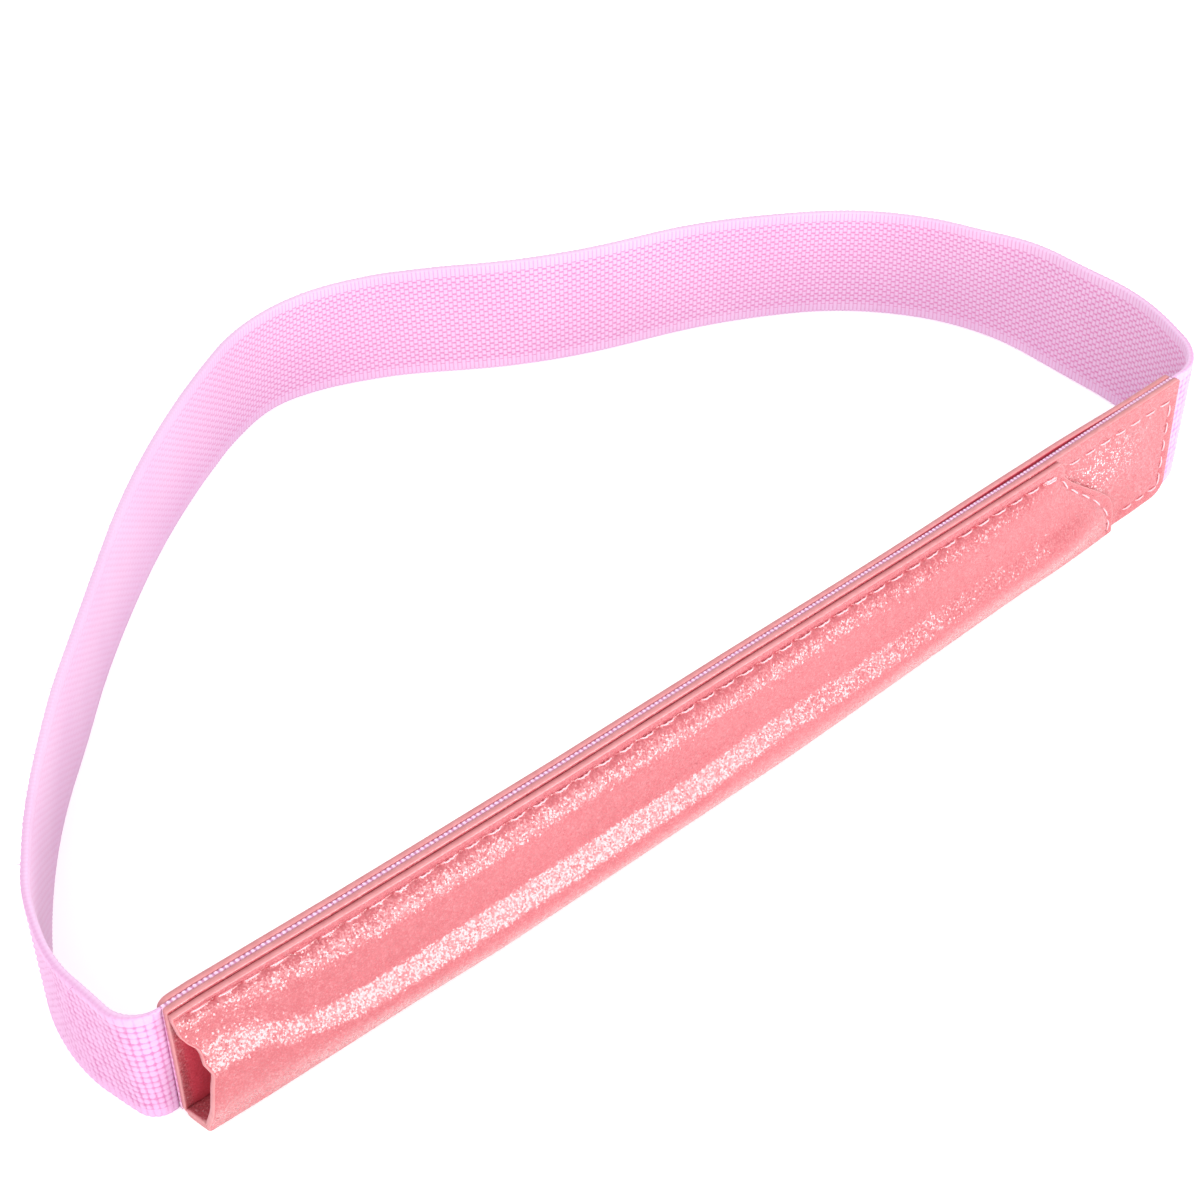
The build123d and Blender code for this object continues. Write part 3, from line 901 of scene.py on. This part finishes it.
def shimmer_leather():
    """Smooth coated leather with fine pearl flakes, painted cut edges, a red underside, painted
    glints and painted shade.
    """
    n = Nodes("shimmer_leather")
    where = n.position()
    edge, seam, lining_and_shade = n.value("edge"), n.value("seam"), n.value("lining_and_shade")
    cloud = n.noise(where, 60.0)
    fine = n.noise(where, 900.0)
    flakes = n.add("ShaderNodeTexVoronoi", {"Vector": where, "Scale": 1 / FLAKE})
    at_flake = flakes.outputs["Position"]
    chance = n.add("ShaderNodeTexWhiteNoise", {"Vector": at_flake}).outputs["Value"]
    lot = n.add("ShaderNodeSeparateColor", {0: flakes.outputs["Color"]}).outputs[1]
    # Each flake has its own tilt, wider where the flakes are loose, and a few are far off.
    loose_flakes = n.minus(1.0, n.value("polish_and_glints"))
    tilt = n.vector("SUBTRACT", flakes.outputs["Color"], (0.5, 0.5, 0.5))
    tilt_spread = n.plus(0.23, n.times(loose_flakes, 0.06))
    tilt_spread = n.plus(tilt_spread, n.times(n.math("POWER", chance, 6.0), 0.4))
    calm = n.minus(1.0, n.math("MAXIMUM", edge, n.times(lining_and_shade, 0.5)))

    coral = n.mix(n.span(cloud, 0.35, 0.65), CORAL, CORAL_CLOUD)
    coral = n.mix(n.span(fine, 0.3, 0.8), coral, CORAL_GRAIN)
    coral = n.mix(n.times(n.math("GREATER_THAN", chance, 0.85), 0.2), coral, FLAKE_PINK)
    # Painted glints: where the polish value is well below zero, a few flakes are painted
    # near-white.
    painted_glint = n.times(n.math("GREATER_THAN", chance, 0.87), n.span(loose_flakes, 2.0, 8.0))
    coral = n.mix(n.times(painted_glint, 0.8), coral, PAINTED_GLINT_WHITE)
    # The underside's red, also painted as shade on the base panel inside the pocket.
    coral = n.mix(lining_and_shade, coral, LINING_AND_SHADE_RED)
    painted = n.mix(n.span(fine, 0.3, 0.7), EDGE_PAINT, EDGE_PAINT_PALE)
    colour = n.mix(n.span(edge, 0.25, 0.8), coral, painted)
    # Painted shade: the needle holes are painted dark red.
    colour = n.mix(n.times(n.span(seam, 0.12, 0.6), 0.92), colour, HOLE_SHADE_RED)

    grain = n.add("ShaderNodeTexVoronoi", {"Vector": where, "Scale": 1500.0}, feature="SMOOTH_F1")
    normal = n.bump(grain.outputs["Distance"], 0.12, 0.00005)
    normal = n.bump(fine, 0.08, 0.00006, normal)
    lean = n.scaled(tilt, n.times(calm, tilt_spread))
    sparkle = n.vector("NORMALIZE", n.vector("ADD", normal, lean))
    pearl = n.times(n.math("GREATER_THAN", lot, 0.35), calm)
    return n.finish(
        Base_Color=colour, Roughness=n.minus(0.5, n.times(pearl, 0.36)), Normal=sparkle, IOR=1.6,
        Coat_Weight=n.times(calm, 0.2), Coat_Roughness=0.3, Coat_IOR=1.5, Coat_Normal=normal,
    )


RIM_HEIGHT = 0.2  # of the band's edges that shows ribs of its own
RIB_STAGGER = 0.38  # how far every second rib is shifted across, in rows


def woven_elastic():
    """Beads and ribs with pinker grooves between them, darkened as painted shade, and smooth
    ribbed selvages. Painted shade darkens the band near its ends, painted light brightens it in
    the sleeve.
    """
    n = Nodes("woven_elastic")
    where = n.position()
    along, across = n.layout()
    column = n.math("DIVIDE", along, COLUMN_PITCH)
    row_pitch = (BAND_WIDTH - 2 * SELVAGE) / ROW_COUNT
    row = n.math("DIVIDE", n.minus(across, SELVAGE), row_pitch)
    outer, sewn = n.value("outer"), n.value("sewn")
    body = n.times(n.math("GREATER_THAN", across, SELVAGE),
                   n.math("LESS_THAN", across, BAND_WIDTH - SELVAGE))
    rim = n.plus(n.math("LESS_THAN", across, RIM_HEIGHT),
                 n.math("GREATER_THAN", across, BAND_WIDTH - RIM_HEIGHT))

    def from_middle(value):
        """0 in the middle of each whole step of the value, 1 at its ends."""
        return n.times(n.math("ABSOLUTE", n.minus(n.math("FRACT", value), 0.5)), 2.0)

    # Outer face: round, uneven beads in a square grid.
    bead_u = from_middle(n.math("DIVIDE", along, COLUMN_PITCH * BEAD_PHASES / PHASES))
    bead_v = n.times(from_middle(row), body)
    reach = n.math("SQRT", n.plus(n.times(bead_u, bead_u), n.times(bead_v, bead_v)))
    reach = n.plus(reach, n.span(n.noise(where, 900.0, 1.0), 0.3, 0.7, -0.14, 0.14))
    bead_groove = n.times(n.span(reach, 0.58, 1.3), n.span(body, 0, 1, 0.5, 0.95))
    # Inner face: narrow ribs, with every second one shifted across. They are closed up on the
    # long run behind the mouth.
    odd = n.math("MODULO", n.math("FLOOR", column), 2.0)
    rib_u = from_middle(column)
    rib_v = from_middle(n.plus(row, n.times(odd, RIB_STAGGER)))
    rib_groove = n.math("MAXIMUM",
                        n.times(n.span(rib_u, 0.45, 1.0), n.span(body, 0, 1, 0.5, 0.6)),
                        n.times(n.span(rib_v, 0.45, 1.0), body))
    rib_groove = n.times(rib_groove, n.span(along, 95.0, 150.0, 0.4, 1.0))
    rim_groove = n.times(rim, n.span(rib_u, 0.35, 0.9))
    rim_groove = n.times(rim_groove, n.span(sewn, 0, 1, 0.12, 0.8))
    groove = n.plus(n.times(outer, bead_groove), n.times(n.minus(1.0, outer), rib_groove))
    groove = n.math("MAXIMUM", n.times(groove, n.minus(1.0, rim)), rim_groove)

    # Painted shade: near either end, beside the sleeve, the outer face is painted darker and
    # pinker, its grooves too.
    from_end = n.math("MINIMUM", along, n.minus(LOOSE_LENGTH, along))
    drawn = n.times(n.span(from_end, 15.0, 60.0, 1.0, 0.0), outer)
    drawn = n.times(drawn, n.minus(1.0, sewn))
    fibre = n.noise(where, 5200.0, 2.0)
    yarn = n.mix(n.span(n.noise(where, 70.0), 0.35, 0.65), YARN_LILAC, YARN_LILAC_WARM)
    yarn = n.mix(n.times(drawn, 0.5), yarn, YARN_END_SHADE)
    # Painted light: the band inside the sleeve, which shows only at its edges, is painted paler.
    yarn = n.mix(n.times(sewn, 0.7), yarn, YARN_SEWN_LIT)
    # The grooves take the core's pinker colour, darkened there as painted shade.
    colour = n.mix(n.times(groove, 0.9), yarn, n.mix(drawn, CORE_PINK_AND_SHADE, CORE_END_SHADE))
    colour = n.mix(n.times(n.span(fibre, 0.3, 0.7), 0.22), colour, YARN_FIBRE)

    ply = n.add("ShaderNodeTexWave", {
        "Vector": where, "Scale": 1400.0, "Distortion": 1.5,
    }, bands_direction="Z")
    normal = n.bump(n.minus(1.0, groove), 0.5, 0.00012)
    normal = n.bump(ply.outputs["Fac"], 0.12, 0.00005, normal)
    normal = n.bump(fibre, 0.3, 0.00006, normal)
    return n.finish(
        Base_Color=colour, Roughness=0.75, Normal=normal, Sheen_Weight=0.1, Sheen_Roughness=0.5,
        Sheen_Tint=(1.0, 0.86, 0.95, 1.0),
    )


PLIES = 2
TWIST = 1.6  # turns of the plies per millimetre of thread


def seam_thread():
    """Two-ply sewing thread with a visible twist, painted paler on the ply crests as highlight
    and rosier between them as shade.
    """
    n = Nodes("seam_thread")
    along, around = n.layout()
    turns = n.plus(n.times(along, TWIST), around)
    twist = n.math("SINE", n.times(turns, PLIES * 2 * math.pi))
    fibre = n.noise(n.position(), 6000.0, 2.0)
    # Painted highlight and shade: the plies' crests are paler, the grooves between them rosier.
    colour = n.mix(n.span(twist, -1.0, 0.4), THREAD_ROSE_SHADED, THREAD_PALE_LIT)
    colour = n.mix(n.times(n.span(fibre, 0.4, 0.7), 0.3), colour, THREAD_FIBRE)
    normal = n.bump(twist, 0.5, 0.00008)
    normal = n.bump(fibre, 0.3, 0.00004, normal)
    return n.finish(Base_Color=colour, Roughness=0.6, Normal=normal, Sheen_Weight=0.15)


leather_material = shimmer_leather()
elastic_material = woven_elastic()
thread_material = seam_thread()

SLEEVE_PIECES = [
    (back_strip, leather_material, "shimmer_leather", ["back_strip"]),
    (base_panel, leather_material, "shimmer_leather", ["base_panel"]),
    (pocket_panel, leather_material, "shimmer_leather", ["pocket_panel"]),
    (elastic_sewn, elastic_material, "woven_elastic", ["elastic_sewn_run"]),
    (top_thread, thread_material, "seam_thread", ["top_seam_thread"]),
    (tab_thread, thread_material, "seam_thread", ["tab_seam_thread"]),
    (foot_thread, thread_material, "seam_thread", ["bottom_seam_thread"]),
    (end_thread, thread_material, "seam_thread", ["pocket_end_thread"]),
]
for piece, material, slot_name, nodes in SLEEVE_PIECES:
    piece.data.materials.append(material)
    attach(piece, "sleeve")
    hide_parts(*nodes)

elastic_loop.data.materials.append(elastic_material)
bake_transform(elastic_loop)
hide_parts("elastic_mouth_run", "elastic_far_run", "elastic_tab_run")


# ---- floor, light and camera --------------------------------------------------------------
FLOOR_SIZE = 3.0  # from its middle to each side, in metres
FLOOR_DROP = 0.0002  # under the object, so that the two don't flicker
FLOOR_WHITE = 0.96
FLOOR_GLOW = 0.22


def floor_plane():
    """A pale floor that glows a little, as a white sweep in a bright studio does."""
    corners = [(-1, -1), (1, -1), (1, 1), (-1, 1)]
    points = [(x * FLOOR_SIZE, y * FLOOR_SIZE, -FLOOR_DROP) for x, y in corners]
    mesh = bpy.data.meshes.new("floor")
    mesh.from_pydata(points, [], [(0, 1, 2, 3)])
    obj = bpy.data.objects.new("floor", mesh)
    bpy.context.scene.collection.objects.link(obj)
    n = Nodes("pale_floor")
    mesh.materials.append(n.finish(
        Base_Color=(FLOOR_WHITE, FLOOR_WHITE, FLOOR_WHITE, 1.0), Roughness=0.9,
        Emission_Color=(1.0, 1.0, 1.0, 1.0), Emission_Strength=FLOOR_GLOW,
    ))
    return obj


def soft_light(name, place_at, aim_at, size, power):
    """A rectangular soft light, placed and aimed in layout millimetres; size in metres."""
    data = bpy.data.lights.new(name, "AREA")
    data.shape = "RECTANGLE"
    data.size, data.size_y = size
    data.energy = power
    obj = bpy.data.objects.new(name, data)
    at, aim = Vector(place(place_at)), Vector(place(aim_at))
    obj.location = at
    obj.rotation_euler = (at - aim).to_track_quat("Z", "Y").to_euler()
    bpy.context.scene.collection.objects.link(obj)


floor_plane()
# The low strip makes the highlight along the pocket's ridge.
soft_light("low_front_light", (145, -300, 62), (80, 0, 8), size=(0.24, 0.12), power=1.08)
soft_light("high_side_light", (430, -330, 760), (80, 30, 8), size=(0.5, 0.5), power=0.3)
soft_light("left_fill_light", (-520, -300, 420), (90, 60, 8), size=(0.6, 0.6), power=2.6)

WORLD_STRENGTH = 1.29
world = bpy.data.worlds.new("studio")
world.use_nodes = True
background = world.node_tree.nodes["Background"]
background.inputs["Color"].default_value = (1.0, 1.0, 1.0, 1.0)
background.inputs["Strength"].default_value = WORLD_STRENGTH
bpy.context.scene.world = world
bpy.context.scene.view_settings.view_transform = "Standard"

# The camera of the photo, fitted to the sleeve's corners and the band's edges.
CAMERA_PLACE = (-50.84, -134.93, 202.56)
CAMERA_AZIMUTH = math.radians(39.28)
CAMERA_ELEVATION = math.radians(42.56)
CAMERA_ROLL = math.radians(-1.415)
CAMERA_LENS = 64.64

forward = Vector((
    math.sin(CAMERA_AZIMUTH) * math.cos(CAMERA_ELEVATION),
    math.cos(CAMERA_AZIMUTH) * math.cos(CAMERA_ELEVATION),
    -math.sin(CAMERA_ELEVATION),
))
level_right = Vector((math.cos(CAMERA_AZIMUTH), -math.sin(CAMERA_AZIMUTH), 0.0))
level_up = level_right.cross(forward)
right = level_right * math.cos(CAMERA_ROLL) + level_up * math.sin(CAMERA_ROLL)
up = level_up * math.cos(CAMERA_ROLL) - level_right * math.sin(CAMERA_ROLL)
camera_data = bpy.data.cameras.new("camera")
camera_data.lens = CAMERA_LENS
camera_data.sensor_width = 36.0
camera_data.clip_start = 0.01
camera = bpy.data.objects.new("camera", camera_data)
axes = Matrix((right, up, -forward)).transposed().to_4x4()
camera.matrix_world = Matrix.Translation(Vector(place(CAMERA_PLACE))) @ axes
bpy.context.scene.collection.objects.link(camera)
bpy.context.scene.camera = camera
